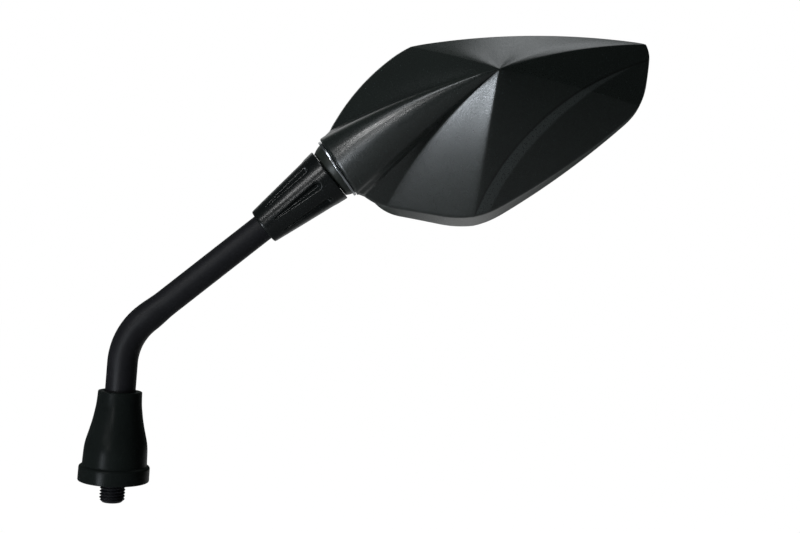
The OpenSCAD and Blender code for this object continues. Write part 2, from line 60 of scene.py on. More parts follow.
# Construction values shared with the part, in millimetres; rises and turns are in radians
STEM_RISE = math.radians(42.5)
BEND_HEIGHT = 58.3
BEND_R = 25.0
REACH = 110.8
STEM_R = 6.0
STEM_TOP_R = 5.5
STUD_R = 5.0
STUD_LENGTH = 8.6
STUD_TOP = 11.0
PITCH = 1.25
NECK_RISE = math.radians(39)
NECK_R = 13.65
RIM_W = -1.7
MOUTH_R = 12.2
MOUTH_TOP = 4.8
SEAT_R = 9.8
WEB_R = 11.8
WEB_HOLE_R = 2.5 + WEB_R * math.sin(math.radians(14.5)) + 0.2
INNER_FACE = 6.3
INNER_R = 11.0
APEX = np.array([58.0, 38.8])
APEX_FRONT = 26.0
RIM_BACK = 18.0
WALL = 2.2
GLASS_MARGIN = 4.1
GLASS_T = 2.0
GLASS_RADIUS = 1200.0
GLASS_RECESS = 0.8
GLASS_MIDDLE = np.array([60.0, 22.0])
SLEEVE_LOW_R = 7.5
SLEEVE_R = 11.6
SLEEVE_LENGTH = 33.8
SPINE_ANGLE = 70.0

BEND_ANGLE = math.pi / 2 - STEM_RISE
BEND_LEG = BEND_R * math.tan(BEND_ANGLE / 2)
PIVOT = np.array([REACH * math.cos(STEM_RISE), 0.0, BEND_HEIGHT + REACH * math.sin(STEM_RISE)])

# Head outline, one row a corner: across, up, wall depth, flare, rounding, bow, lift, swell
CORNERS = np.array([
    [-6.6, 13.9, 12, 1.4, 5, 3.3, 2.4, 0.3],
    [23.0, 51.3, 10, 1.3, 8, 4.0, 0.5, 0.4],
    [121.9, 60.5, 7, 0.9, 6.5, 0.6, 2.3, 0.8],
    [120.6, 34.5, 6.2, 0.9, 9, 2.6, 0.8, 1.2],
    [54.4, -18.3, 16, 3.3, 13, -0.2, 0, 2.4],
    [18.7, -15.0, 11, 2.3, 5, 0.5, 3.6, 0],
    [9.8, -11.9, 16, 0, 0, 0, 0.6, 0],
])
NECK_HIGH = np.array([-8.2, 11.2, 16, 0, 0, 0, 2.4, 0])
# How far the triangle below the neck is scooped and the neck's upper flank swells out, and where each of the
# two starts on the ray count and how much of it it takes up
TRIANGLE_SCOOP, TRIANGLE_SPAN = 0.3, (45, 12)
FLANK_BULGE, FLANK_SPAN = 0.9, (70.6, 5.2)
# How far the front and its apex stay behind the part's foremost plane
FRONT_INSIDE, APEX_INSIDE = 0.03, 0.01
RIM_CORNER_LOW = np.array([16.9, -17.3])
RIM_CORNER_HIGH = np.array([-8.2, 13.4])
# Angles round the neck where its visible front half starts and ends, and its share below the spine
NECK_FROM, NECK_TO = 166.0, 14.0
BELOW_SPINE = (NECK_FROM - SPINE_ANGLE) / (NECK_FROM - NECK_TO)
# Places on the ray count: the neck, its crease lines and the curves of the rim behind it
NECK_PLACE, SPINE_PLACE = 63.0, 63 + 12 * BELOW_SPINE
RIM_CURVE_FROM, RIM_CURVE_TO = 53, 79

# Softening of the front's edge, the neck's rim and the lip round the glass
EDGE_R, NECK_EDGE_R, LIP = 1.15, 1.1, 0.45

# Sleeve grooves: ends, half width and depth at the low end and their growth, and turn of the first
FLUTES, FLUTE_FROM, FLUTE_TO = 8, 6.4, 27.0
FLUTE_HALF, FLUTE_DEPTH, FLUTE_TURN = (0.35, 1.85), (0.55, 1.15), math.radians(90 - 8)
STEM_BORE = 5.96
THREAD_DEPTH = 0.72
BALL_R, DOME_R, WIPER_R = 12.0, 9.0, 12.1


# ---------------------------------------------------------------- mesh helpers

def leaned(points, angle):
    """Leans points about the Y axis from upright towards X and moves them to the ball centre."""
    c, s = math.cos(angle), math.sin(angle)
    x, y, z = points.T
    return np.column_stack([x * c + z * s, y, -x * s + z * c]) + PIVOT


def along_stem(points):
    """Turns points from the upper stem's frame, z up the stem from the ball centre, into the model's frame."""
    return leaned(points, BEND_ANGLE)


def at_neck(points):
    """Turns points from the neck's frame, z along the neck from the ball centre, into the model's frame."""
    return leaned(points, math.pi / 2 - NECK_RISE)


def as_is(points):
    """Leaves points where they are."""
    return points


def grid_quads(rows, columns, keep=None):
    """Faces of a grid of rows by columns whose last column joins the first; keep marks the quads that are made."""
    i, j = np.meshgrid(np.arange(rows - 1), np.arange(columns), indexing="ij")
    if keep is not None:
        wanted = keep[i, j]
        i, j = i[wanted], j[wanted]
    i, j = i.ravel(), j.ravel()
    n = (j + 1) % columns
    return np.column_stack([i * columns + j, i * columns + n, (i + 1) * columns + n, (i + 1) * columns + j])


def weld(mesh):
    """Welds the seams and poles of a mesh and drops faces without area."""
    bm = bmesh.new()
    bm.from_mesh(mesh)
    bmesh.ops.remove_doubles(bm, verts=bm.verts, dist=2e-6)
    bmesh.ops.dissolve_degenerate(bm, edges=bm.edges, dist=1e-7)
    bmesh.ops.recalc_face_normals(bm, faces=bm.faces)
    bm.to_mesh(mesh)
    bm.free()
    mesh.update()


def make_piece(name, points, faces, body, slot, material, replaced=(), attributes=None):
    """Puts points in millimetres and quads into a smooth, welded mesh that rides on a body."""
    mesh = bpy.data.meshes.new(name)
    mesh.from_pydata((points * MM).tolist(), [], faces.tolist())
    for key, values in (attributes or {}).items():
        layer = mesh.attributes.new(key, "FLOAT", "POINT")
        layer.data.foreach_set("value", values.astype(np.float32))
    mesh.validate()
    mesh.polygons.foreach_set("use_smooth", np.ones(len(mesh.polygons), bool))
    mesh.update()
    piece = bpy.data.objects.new(name, mesh)
    bpy.context.scene.collection.objects.link(piece)
    mesh.materials.append(material)
    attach(piece, body)
    if replaced:
        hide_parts(*replaced)
    weld(mesh)


def curve(a, b, c, t):
    """Quadratic curve from a to c, drawn towards b: a(1-t)^2 + 2b t(1-t) + c t^2."""
    return (1 - t) ** 2 * a + 2 * t * (1 - t) * b + t ** 2 * c


def rounded(profile, radius, steps=4):
    """A profile of [radius, height] points whose inner corners are rounded by quadratic curves.

    Each corner is replaced by a curve from a point at the given distance before it to one after it.
    radius is one number or one for each point."""
    p = np.asarray(profile, float)
    r = np.broadcast_to(radius, len(p))
    out = [p[:1]]
    t = np.linspace(0, 1, steps + 1)[:, None]
    for i in range(1, len(p) - 1):
        if r[i] <= 0:
            out.append(p[i:i + 1])
            continue
        before, after = p[i - 1] - p[i], p[i + 1] - p[i]
        lb, la = np.linalg.norm(before), np.linalg.norm(after)
        a = p[i] + before / lb * min(r[i], lb * 0.45)
        b = p[i] + after / la * min(r[i], la * 0.45)
        out.append(curve(a, p[i], b, t))
    out.append(p[-1:])
    return np.vstack(out)


def full_turn(steps):
    """Angles of one whole turn."""
    return np.arange(steps) / steps * TAU


def circle_rows(radius, height, angle):
    """Rows of points round the axis: x = r cos a, y = r sin a, z = height, with r for each row or each point."""
    r = radius[:, None] if radius.ndim == 1 else radius
    return np.stack([r * np.cos(angle), r * np.sin(angle), height[:, None] + 0 * angle], -1)


def turned(profile, steps=96, place=as_is):
    """A profile of [radius, height] points turned about the axis."""
    points = circle_rows(profile[:, 0], profile[:, 1], full_turn(steps))
    return place(points.reshape(-1, 3)), grid_quads(len(profile), steps)


def turned_piece(name, profile, body, slot, material, replaced=(), steps=96, place=as_is):
    """A piece with a turned surface."""
    make_piece(name, *turned(profile, steps, place), body, slot, material, replaced)


def ease(x):
    """Smooth step from 0 to 1 over 0..1."""
    x = np.clip(x, 0, 1)
    return x * x * (3 - 2 * x)


def arch(x, start=0, span=1):
    """4t(1-t) for x at the share t of a span, and 0 outside it."""
    t = np.clip((x - start) / span, 0, 1)
    return 4 * t * (1 - t)


# ---------------------------------------------------------------- head outline

def unit(v):
    """v divided by its length."""
    return v / np.linalg.norm(v, axis=-1, keepdims=True)


def left_of(v):
    """v turned a quarter to the left."""
    return np.stack([-v[..., 1], v[..., 0]], -1)


def corner(i):
    """Row i of the outline, counted round."""
    return CORNERS[i % len(CORNERS)]


def edge_length(i):
    """Straight length of the edge that follows corner i."""
    return np.linalg.norm(corner(i + 1)[:2] - corner(i)[:2])


def edge_point(i, t):
    """Points on the bowed edge after corner i: the chord plus bow times 4t(1-t) to its left."""
    a, b = corner(i)[:2], corner(i + 1)[:2]
    return a + (b - a) * t[:, None] + left_of(unit(b - a)) * corner(i)[5] * (4 * t * (1 - t))[:, None]


def edge_normal(i, t):
    """Outward normal of the bowed edge."""
    return unit(left_of(edge_point(i, t + 0.01) - edge_point(i, t - 0.01)))


def first_share(i):
    """Share of edge i where the rounding of its first corner ends."""
    return corner(i)[4] / edge_length(i)


def last_share(i):
    """Share of edge i where the rounding of its last corner starts."""
    return 1 - corner(i + 1)[4] / edge_length(i)


def cut_share(i):
    """Share by which the rounding cuts the ray that ends at corner i."""
    c = corner(i)[:2]
    before = edge_point(i - 1, np.array([last_share(i - 1)]))[0]
    after = edge_point(i, np.array([first_share(i)]))[0]
    return float((2 * c - before - after) @ unit(c - APEX) / (4 * np.linalg.norm(c - APEX)))


def edge_rays(i, t, cut, normal, place):
    """Rays from the apex to edge i: end point, end depth, rounding cut, lift, swell, normal, flare, place."""
    c = mixed(corner(i), corner(i + 1), t)
    return np.column_stack([edge_point(i, t), RIM_BACK - c[:, 2], cut + 0 * t, c[:, 6], c[:, 7], normal,
                            c[:, 3], place])


def corner_normal(i):
    """Normal halfway between the two edges that meet at corner i."""
    return unit(edge_normal(i - 1, np.array([1.0])) + edge_normal(i, np.array([0.0])))[0]


def mixed(a, b, t):
    """Straight mix of two rows or points by an array of shares."""
    return a * (1 - t)[:, None] + b * t[:, None]


def neck_rays(angle, w, r, place):
    """Rays to the neck's circle at height w and radius r; angle is 180 at its underside and 0 on top.

    The lift and the swell grow towards the spine, and the lift grows with the cosine on the upper side too."""
    a = np.radians(angle)
    spine = np.where(angle > SPINE_ANGLE, 1 - (angle - SPINE_ANGLE) / (180 - SPINE_ANGLE), angle / SPINE_ANGLE)
    x = w * math.cos(NECK_RISE) - math.sin(NECK_RISE) * r * np.cos(a)
    z = w * math.sin(NECK_RISE) + math.cos(NECK_RISE) * r * np.cos(a)
    zero = 0 * a
    lift = 0.4 + 2 * np.maximum(0, np.cos(a)) + 1.2 * spine
    return np.column_stack([x, z, -r * np.sin(a), zero, lift, 2.6 * spine ** 1.5, zero - 1, zero, zero, place])


def head_rays(inner=False):
    """All rays round the head, closer together beside the creases, and the place of each on the part's count.

    The rays go clockwise from the upper-left edge: five edges with rounded corners, the underside of the
    neck, the neck's front half and back to the start. inner=True draws them in by the wall."""
    rows, place = [], 0.0

    def add(count, maker, n, end=None, power=1.7):
        nonlocal place
        t = np.arange(n) / n
        t = {"last": 1 - (1 - t) ** power, "first": t ** power, None: t}[end]
        rows.append(maker(t, place + count * t))
        place += count

    def straight_edge(i, lo, hi):
        return lambda t, p: edge_rays(i, lo + (hi - lo) * t, 0, edge_normal(i, lo + (hi - lo) * t), p)

    for i in range(6):
        lo, hi = first_share(i), last_share(i) if i < 5 else 1.0
        if i < 5:
            add(6, straight_edge(i, lo, hi), 40)
            n1, m1 = edge_normal(i, np.array([hi]))[0], corner_normal(i + 1)
            k1 = cut_share(i + 1)
            add(3, lambda t, p: edge_rays(i, hi + (1 - hi) * t, k1 * t * t, unit(mixed(n1, m1, t)), p), 16, "last")
            lo2 = first_share(i + 1)
            n2 = edge_normal(i + 1, np.array([lo2]))[0]
            add(3, lambda t, p: edge_rays(i + 1, lo2 * t, k1 * (1 - t) ** 2, unit(mixed(m1, n2, t)), p), 16,
                "first")
        else:
            add(2, straight_edge(i, lo, hi), 12)
    one, zero = np.ones(1), np.zeros(1)
    end5 = edge_rays(5, one, 0, edge_normal(5, one), zero)[0]
    low = edge_rays(0, zero, 0, edge_normal(0, zero), zero)[0]
    neck_at = (INNER_FACE, INNER_R) if inner else (RIM_W, NECK_R)
    first_neck, last_neck = neck_rays(np.array([NECK_FROM, NECK_TO]), *neck_at, np.zeros(2))

    def placed(r, p):
        r[:, -1] = p
        return r

    neck_from = sum(len(r) for r in rows) + 6
    add(1, lambda t, p: placed(mixed(end5, first_neck, t), p), 6)
    span = NECK_FROM - NECK_TO
    add(12 * BELOW_SPINE, lambda t, p: neck_rays(NECK_FROM - span * BELOW_SPINE * t, *neck_at, p), 44, "last", 1.5)
    above = 1 - BELOW_SPINE
    add(12 * above, lambda t, p: neck_rays(SPINE_ANGLE - span * above * t, *neck_at, p), 28, "first", 1.5)
    neck_to = sum(len(r) for r in rows)
    x, z, wall, flare, _, _, lift, swell = NECK_HIGH
    high = np.array([x, z, RIM_BACK - wall, 0, lift, swell, *low[6:8], flare, 0])
    add(1, lambda t, p: placed(mixed(last_neck, high, t), p), 8, "last", 1.4)
    add(2, lambda t, p: placed(mixed(high, low, t), p), 12, "first", 1.4)
    lo = first_share(0)
    add(2, straight_edge(0, 0, lo), 10)
    rays = np.vstack(rows)
    is_neck = np.zeros(len(rays), bool)
    is_neck[neck_from:neck_to + 1] = True
    if inner:
        drawn = rays.copy()
        drawn[:, :2] -= rays[:, 6:8] * WALL * 1.3
        drawn[:, 2] += WALL * 0.9
        drawn[:, 5] *= 0.9
        place = rays[:, -1]
        start, stop, whole = NECK_PLACE - 7, NECK_PLACE + 12, NECK_PLACE + 17
        a, b = drawn[np.searchsorted(place, start)], first_neck
        t = np.clip((place - start) / (NECK_PLACE - start), 0, 1)
        before = (place > start) & (place < NECK_PLACE)
        drawn[before] = mixed(a, b, t[before])
        t = np.clip((place - stop) / (whole - stop), 0, 1)
        after = place > stop
        drawn[after] = mixed(last_neck, drawn[0], t[after])
        drawn[is_neck] = rays[is_neck]
        drawn[:, -1] = place
        drawn[is_neck, 4] *= 0.8
        drawn[is_neck, 5] *= 0.6
        rays = drawn
    return rays, is_neck


# Cosine with the upright from which a ray above the apex and one below it is lifted in full
FULL_LEAN = (0.9, 0.55)


def ray_points(rays, share, apex, front):
    """Front surface at each ray's share: a straight ray lifted sideways by 4u(1-u) and swelled in depth.

    The lift dies away with the cube of the ray's lean, so it doesn't fold at the rays that stand upright."""
    u = share * (1 - rays[:, 3])
    out = rays[:, :2] - apex
    lean = np.clip(unit(out)[:, :1] / np.where(out[:, 1:] > 0, *FULL_LEAN), -1, 1)
    up = left_of(unit(out)) * lean ** 3
    bulge = 4 * u * (1 - u)
    flat = apex + out * u[:, None] + up * (rays[:, 4] * bulge)[:, None]
    depth = -front * (1 - u) + rays[:, 2] * u - rays[:, 5] * bulge
    return np.column_stack([flat[:, 0], depth, flat[:, 1]])


def rim_line(rays, ends):
    """The glass rim seen from the front: the creases moved out by the flare, and three curves behind the neck."""
    place = rays[:, -1]
    flared = ends[:, [0, 2]] + rays[:, 6:8] * rays[:, 8:9]
    whole = [int(np.argmin(abs(place - k))) for k in (RIM_CURVE_FROM, RIM_CURVE_FROM - 1, 0, 1)]
    start = flared[whole[0]] + (flared[whole[0]] - flared[whole[1]]) * 0.5
    stop = flared[whole[2]] + (flared[whole[2]] - flared[whole[3]]) * 0.3
    low, high = (RIM_CORNER_LOW + (RIM_CORNER_HIGH - RIM_CORNER_LOW) * s for s in (0.2, 0.84))

    u = (place - RIM_CURVE_FROM - 1) / (RIM_CURVE_TO - RIM_CURVE_FROM - 1)
    line = flared.copy()
    chain = place >= RIM_CURVE_FROM
    u = np.clip(u[chain], 0, 1)
    turn_in, turn_out = 0.25, 0.8
    first = curve(start, RIM_CORNER_LOW, low, np.clip(u / turn_in, 0, 1)[:, None])
    last = curve(high, RIM_CORNER_HIGH, stop, np.clip((u - turn_out) / (1 - turn_out), 0, 1)[:, None])
    middle = mixed(low, high, np.clip((u - turn_in) / (turn_out - turn_in), 0, 1))
    line[chain] = np.where((u < turn_in)[:, None], first, np.where((u > turn_out)[:, None], last, middle))
    joint = (place > RIM_CURVE_FROM) & (place < RIM_CURVE_FROM + 1)
    line[joint] = mixed(flared[whole[0]], start, place[joint] - RIM_CURVE_FROM)
    end = place > RIM_CURVE_TO
    line[end] = mixed(stop, flared[whole[2]], place[end] - RIM_CURVE_TO)
    return line


def rim_normals(line):
    """Outward normals of the closed rim line."""
    step = np.roll(line, -2, 0) - np.roll(line, 2, 0)
    return unit(left_of(step))


def outline():
    """The rays, which of them are on the neck, their ends, the rim line and its outward normals."""
    rays, is_neck = head_rays()
    ends = ray_points(rays, np.ones(len(rays)), APEX, APEX_FRONT)
    line = rim_line(rays, ends)
    return rays, is_neck, ends, line, rim_normals(line)


def bezier(a, b, c, steps):
    """Rows of points on the curves from a to c, drawn towards b."""
    return curve(a, b, c, np.linspace(0, 1, steps)[:, None, None])


# Rays on each side over which a crease's change of slope is measured, the most that it may be, and
# the widest softening and its reach as shares of the way round
KINK_RAYS, KINK_MOST, WIDTH_SHARE, REACH_SHARE = 7, 3, 0.03, 0.3
# Creases that are softened: place on the count, width at the apex, growth to the edge
CREASES = [(9.0, 0.45, 0.0), (21.0, 0.4, 0.0), (45.0, 0.4, 0.8), (57.0, 0.25, 0.0), (62.4, 1.5, 5.0),
           (SPINE_PLACE, 0.4, 2.0), (76.0, 1.0, 2.4)]


def soften_creases(rings, place, shares):
    """Rounds the creases along the rays: with d the distance from a crease and k its change of slope,
    the depth moves by k/2 (sqrt(d*d + w*w) - |d|), which turns a kink into a curve about w wide."""
    rows, count = rings.shape[:2]
    flat = rings[:, :, [0, 2]]
    step = np.linalg.norm(np.roll(flat, -1, 1) - flat, axis=2)
    shift = np.zeros((rows, count))
    for at, width, growth in CREASES:
        j = int(np.argmin(abs(place - at)))
        order = (np.arange(count) + j) % count
        ahead, behind = (np.cumsum(np.pad(steps, ((0, 0), (1, 0))), 1)[:, :-1]
                         for steps in (step[:, order], step[:, order[::-1]]))
        depth = rings[:, order, 1]
        n = KINK_RAYS
        up = (depth[:, n] - depth[:, 0]) / np.maximum(ahead[:, n], 1e-6)
        down = (depth[:, -n] - depth[:, 0]) / np.maximum(behind[:, n], 1e-6)
        kink = np.clip(up + down, -KINK_MOST, KINK_MOST)[:, None]
        w = np.minimum((width + growth * shares ** 2)[:, None], WIDTH_SHARE * ahead[:, -1:])
        reach = np.minimum(6 * w, REACH_SHARE * ahead[:, -1:])
        for way, d in ((order, ahead), (order[:0:-1], behind[:, 1:])):
            shift[:, way] += kink / 2 * (np.sqrt(d ** 2 + w ** 2) - d) * ease(1 - d / reach)
    rings[:, :, 1] += shift
    return rings


def head_grid():
    """The whole shell as one grid of rings: front skin, edge, wall, rim lip, and the same back inside.

    Returns the grid, which of its quads are made, and the place of each ray on the count."""
    rays, is_neck, ends, line, normal = outline()
    place = rays[:, -1]
    rim = np.column_stack([line[:, 0], np.full(len(line), RIM_BACK), line[:, 1]])
    inner_line = line - normal * WALL
    rim_in = np.column_stack([inner_line[:, 0], np.full(len(line), RIM_BACK), inner_line[:, 1]])
    centre = np.array([RIM_W * math.cos(NECK_RISE), 0, RIM_W * math.sin(NECK_RISE)])

    edge_r = np.where(is_neck, NECK_EDGE_R, EDGE_R)
    length = np.linalg.norm(ends - np.array([APEX[0], -APEX_FRONT, APEX[1]]), axis=1)
    last = 1 - edge_r / length
    shares = np.concatenate([np.linspace(0, 0.9, 52)[1:], np.linspace(0.9, 1, 24)[1:]])
    front = np.stack([ray_points(rays, s * last, APEX, APEX_FRONT) for s in shares])
    u = shares[:, None]
    front[:, :, 1] += TRIANGLE_SCOOP * arch(place, *TRIANGLE_SPAN) * u * u * (1.2 - u)
    front[:, :, 1] -= FLANK_BULGE * arch(place, *FLANK_SPAN) * arch(u)
    front = soften_creases(front, place, shares)
    front[:, :, 1] = np.maximum(front[:, :, 1], FRONT_INSIDE - APEX_FRONT)

    mirrored = ends * [1, -1, 1]
    wall_dir = unit(np.where(is_neck[:, None], centre, rim) - ends)
    edge_end = ends + wall_dir * edge_r[:, None]
    edge = bezier(front[-1], ends + (front[-1] - ray_points(rays, last, APEX, APEX_FRONT)), edge_end, 8)[1:]

    def past_edge(distance):
        return ends + wall_dir * (edge_r[:, None] + distance)

    neck = is_neck[:, None]
    to_rim = unit(rim - np.where(neck, mirrored, ends))
    back_start = np.where(neck, mirrored + unit(centre - mirrored) * NECK_EDGE_R, past_edge(0.1))
    back_corner = np.where(neck, mirrored, past_edge(0.35))
    back_end = np.where(neck, mirrored + to_rim * NECK_EDGE_R, past_edge(0.6))
    back = bezier(back_start, back_corner, back_end, 6)
    lip_start = rim - to_rim * LIP
    rim_out = np.column_stack([normal[:, 0], 0 * place, normal[:, 1]])
    t = np.linspace(0, 1, 7)[1:-1, None, None]
    wall = back_end * (1 - t) + lip_start * t
    lip_rows = bezier(lip_start, rim, rim - rim_out * LIP, 6)
    lip_in = bezier(rim_in + rim_out * LIP, rim_in, rim_in - np.array([0, LIP, 0]), 6)

    inner_rays, _ = head_rays(inner=True)
    inner_apex = APEX + [0, -WALL * 0.7]
    inner_front = APEX_FRONT - WALL * 1.7
    inner_ends = ray_points(inner_rays, np.ones(len(rays)), inner_apex, inner_front)
    inner_back = np.where(neck, inner_ends * [1, -1, 1], (inner_ends + rim_in) / 2)
    t = np.linspace(0, 1, 5)[1:-1, None, None]
    inner_wall = (rim_in - [0, LIP, 0]) * (1 - t) + inner_back * t
    inner_skin = np.stack([ray_points(inner_rays, np.full(len(rays), s), inner_apex, inner_front)
                           for s in np.linspace(1, 0.0, 14)])
    rows = np.concatenate([
        np.repeat(np.array([[[APEX[0], APEX_INSIDE - APEX_FRONT, APEX[1]]]]), len(rays), 1),
        front, edge, back, wall, lip_rows, lip_in, inner_wall, inner_back[None], inner_skin,
    ])
    keep = np.ones(rows.shape[:2], bool)
    gap_out = len(front) + len(edge)
    gap_in = len(rows) - len(inner_skin) - 1
    neck_pair = is_neck & np.roll(is_neck, -1)
    keep[gap_out, neck_pair] = False
    keep[gap_in, neck_pair] = False
    return rows, keep, place


def painted_band_distances(rows):
    """Signed distances of all points from the upper and the lower edge of the long curved band, in millimetres;
    they place a painted sheen between the edges and a painted shadow line along the upper one.

    Each edge is a smooth curve through a few points; below it and to its right the distance is positive."""
    upper = np.array([[54.6, -17.6], [60.3, -1.9], [64.3, 5.9], [70.2, 12.8], [78.6, 23.6], [87.1, 32.2],
                      [95.9, 38.8], [105.3, 44.7], [115.2, 50.1], [124.5, 55.0]])
    lower = np.array([[60.2, -17.6], [64.1, -4.3], [70.7, 6.4], [79.1, 17.2], [87.5, 28.0], [96.1, 36.1],
                      [105.4, 42.9], [118.1, 51.5], [125.5, 56.5]])

    def signed(line):
        s = np.concatenate([[0], np.cumsum(np.linalg.norm(np.diff(line, axis=0), axis=1))])
        fine_s = np.linspace(0, s[-1], 400)
        kx, kz = np.polyfit(s, line[:, 0], 4), np.polyfit(s, line[:, 1], 4)
        fine = np.column_stack([np.polyval(kx, fine_s), np.polyval(kz, fine_s)])
        tangent = unit(np.gradient(fine, axis=0))
        p = rows.reshape(-1, 3)[:, [0, 2]]
        best = np.full(len(p), 1e9)
        side = np.zeros(len(p))
        for k in range(0, len(fine), 2):
            d = p - fine[k]
            dist = np.hypot(d[:, 0], d[:, 1])
            nearer = dist < best
            cross = tangent[k, 0] * d[:, 1] - tangent[k, 1] * d[:, 0]
            side[nearer] = cross[nearer]
            best[nearer] = dist[nearer]
        return -side

    shift = np.array([-0.36, 0.385])
    return signed(upper + shift), signed(lower + shift)


# ---------------------------------------------------------------- shader helpers

def node(tree, kind, at=(0, 0), **values):
    """Adds one shader node and sets its inputs and properties by name."""
    n = tree.nodes.new(kind)
    n.location = at
    for key, value in values.items():
        if key in n.inputs:
            n.inputs[key].default_value = value
        else:
            setattr(n, key, value)
    return n


def wire(tree, *links):
    """Links sockets; each link gives a node and its output, then another node and its input."""
    for source, result, target, value in links:
        tree.links.new(source.outputs[result], target.inputs[value])


def remap(tree, at, source, result, start, target=(0, 1), smooth=False):
    """Maps a node's output from one pair of limits to another."""
    n = node(tree, "ShaderNodeMapRange", at, interpolation_type="SMOOTHSTEP" if smooth else "LINEAR")
    for key, value in zip(("From Min", "From Max", "To Min", "To Max"), (*start, *target)):
        n.inputs[key].default_value = value
    wire(tree, (source, result, n, "Value"))
    return n


def new_group(name, inputs, outputs):
    """A shader group with named inputs (name, least, most, value) and outputs (name, kind)."""
    g = bpy.data.node_groups.new(name, "ShaderNodeTree")
    for label, low, high, value in inputs:
        s = g.interface.new_socket(label, in_out="INPUT", socket_type="NodeSocketFloat")
        s.min_value, s.max_value, s.default_value = low, high, value
    for label, kind in outputs:
        g.interface.new_socket(label, in_out="OUTPUT", socket_type="NodeSocket" + kind)
    return g, node(g, "NodeGroupInput", (-900, 0)), node(g, "NodeGroupOutput", (600, 0))


def grain_group():
    """Fine moulded or sprayed grain: two layers of noise as a height, and masks of soft blotches and specks."""
    name = "surface_grain"
    if name in bpy.data.node_groups:
        return bpy.data.node_groups[name]
    g, inp, out = new_group(
        name, (("Scale", 1, 20000, 2500), ("Strength", 0, 2, 0.2), ("Distance", 0, 0.01, 0.0001),
               ("Blotch scale", 0.1, 1000, 60)), (("Normal", "Vector"), ("Blotch", "Float"), ("Speckle", "Float")))
    coords = node(g, "ShaderNodeTexCoord", (-900, 300))
    fine = node(g, "ShaderNodeTexNoise", (-500, 200), Detail=2.0, Roughness=0.6)
    voro = node(g, "ShaderNodeTexVoronoi", (-500, -100), feature="SMOOTH_F1", Smoothness=0.6)
    blotch = node(g, "ShaderNodeTexNoise", (-500, -400), Detail=3.0, Roughness=0.55)
    mix = node(g, "ShaderNodeMath", (-250, 100), operation="MULTIPLY_ADD")
    mix.inputs[1].default_value = 0.6
    bump = node(g, "ShaderNodeBump", (100, 100))
    wire(g, *((coords, "Object", texture, "Vector") for texture in (fine, voro, blotch)),
         (inp, "Scale", fine, "Scale"), (inp, "Scale", voro, "Scale"), (inp, "Blotch scale", blotch, "Scale"),
         (fine, "Fac", mix, 0), (voro, "Distance", mix, 2), (mix, 0, bump, "Height"),
         (inp, "Strength", bump, "Strength"), (inp, "Distance", bump, "Distance"), (bump, "Normal", out, "Normal"),
         (blotch, "Fac", out, "Blotch"), (fine, "Fac", out, "Speckle"))
    return g


# Limits between which most values of a noise lie, and how far a finish's colour varies
NOISE_SPAN = (0.3, 0.7)
COLOUR_VARY = 0.12


def finish_material(name, colour, roughness, metallic=0.0, grain=(2500, 0.2, 0.0001, 60), vary=0.06, specular=0.5,
                    mask="Blotch"):
    """A finish with grain in its normal, soft blotches in its colour and one of the grain's masks in its gloss."""
    m = bpy.data.materials.new(name)
    m.use_nodes = True
    m.diffuse_color = (*colour, 1)
    t = m.node_tree
    t.nodes.clear()
    out = node(t, "ShaderNodeOutputMaterial", (600, 0))
    p = node(t, "ShaderNodeBsdfPrincipled", (300, 0), **{"Metallic": metallic, "Specular IOR Level": specular})
    g = node(t, "ShaderNodeGroup", (-300, 0), node_tree=grain_group(),
             **dict(zip(("Scale", "Strength", "Distance", "Blotch scale"), grain)))
    tone = remap(t, (0, 200), g, "Blotch", NOISE_SPAN, (1 - COLOUR_VARY, 1 + COLOUR_VARY))
    paint = node(t, "ShaderNodeMix", (150, 300), data_type="RGBA", blend_type="MULTIPLY")
    paint.inputs[0].default_value = 1.0
    paint.inputs["A"].default_value = (*colour, 1)
    rough = remap(t, (0, -100), g, mask, NOISE_SPAN, (roughness - vary, roughness + vary))
    wire(t, (tone, "Result", paint, "B"), (paint, "Result", p, "Base Color"), (rough, "Result", p, "Roughness"),
         (g, "Normal", p, "Normal"), (p, "BSDF", out, "Surface"))
    return m


# Distance that stands for a point outside the facet of the painted sheen band
OFF_PAINTED_BAND = -99


def painted_sheen_group():
    """Masks of the long curved line: a band between its two edges for a painted sheen, and a thin line along the
    upper one for a painted shadow line.
    """
    name = "curved_band"
    if name in bpy.data.node_groups:
        return bpy.data.node_groups[name]
    g, inp, out = new_group(name, (("Upper", -1000, 1000, OFF_PAINTED_BAND), ("Lower", -1000, 1000, OFF_PAINTED_BAND)),
                            (("Painted sheen", "Float"), ("Line", "Float")))
    inside = node(g, "ShaderNodeMath", (200, 100), operation="MULTIPLY")
    off = node(g, "ShaderNodeMath", (-300, -300), operation="ABSOLUTE")
    past_upper = remap(g, (-300, 200), inp, "Upper", (0.1, 0.7), smooth=True)
    before_lower = remap(g, (-300, 0), inp, "Lower", (0.5, -0.4), smooth=True)
    line = remap(g, (0, -300), off, 0, (0.55, 0.1), smooth=True)
    wire(g, (inp, "Upper", off, 0), (past_upper, "Result", inside, 0), (before_lower, "Result", inside, 1),
         (inside, 0, out, "Painted sheen"), (line, "Result", out, "Line"))
    return g


